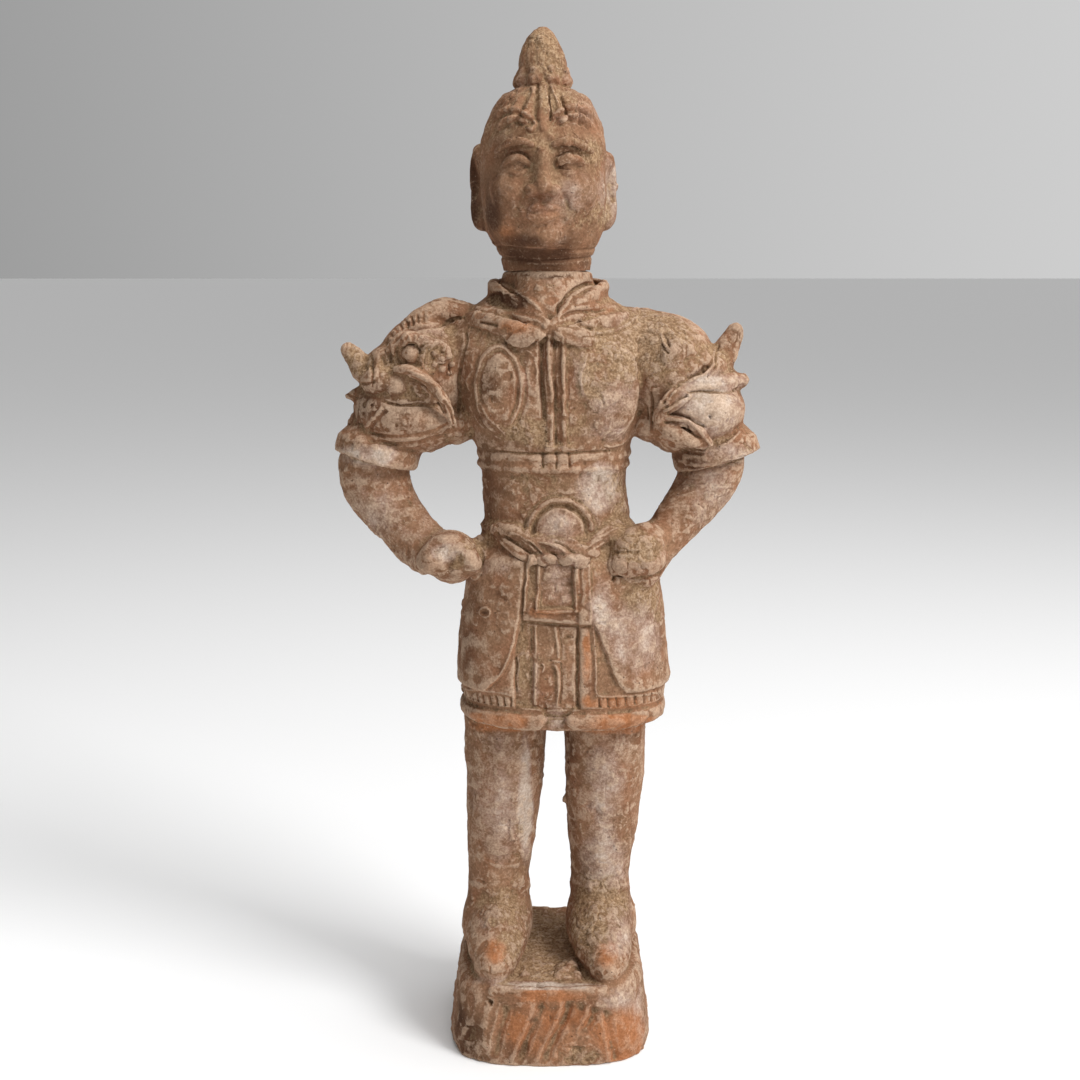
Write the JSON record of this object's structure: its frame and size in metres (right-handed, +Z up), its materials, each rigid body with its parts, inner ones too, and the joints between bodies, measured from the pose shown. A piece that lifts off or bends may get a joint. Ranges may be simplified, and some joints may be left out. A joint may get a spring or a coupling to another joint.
{
  "type": "guardian figurine",
  "caption": "Fired-clay guardian figurine: an armoured warrior standing with hands on hips, beast-head shoulders and a topknot, on a low rock base.",
  "frame": {"origin": "middle of the overall box at the underside of the base, which is flat and lies at z = 0", "axes": "+Z up through the figure, -Y the way the figure faces, +X towards the right of someone who looks at its front"},
  "size_m": [0.2391, 0.115, 0.57],
  "materials": {
    "clay": "unglazed fired earthenware, dry and matte, with worn pale slip and soil in the recesses"
  },
  "bodies": {
    "root": {"body": "clay", "head": "clay"}
  },
  "joints": []
}
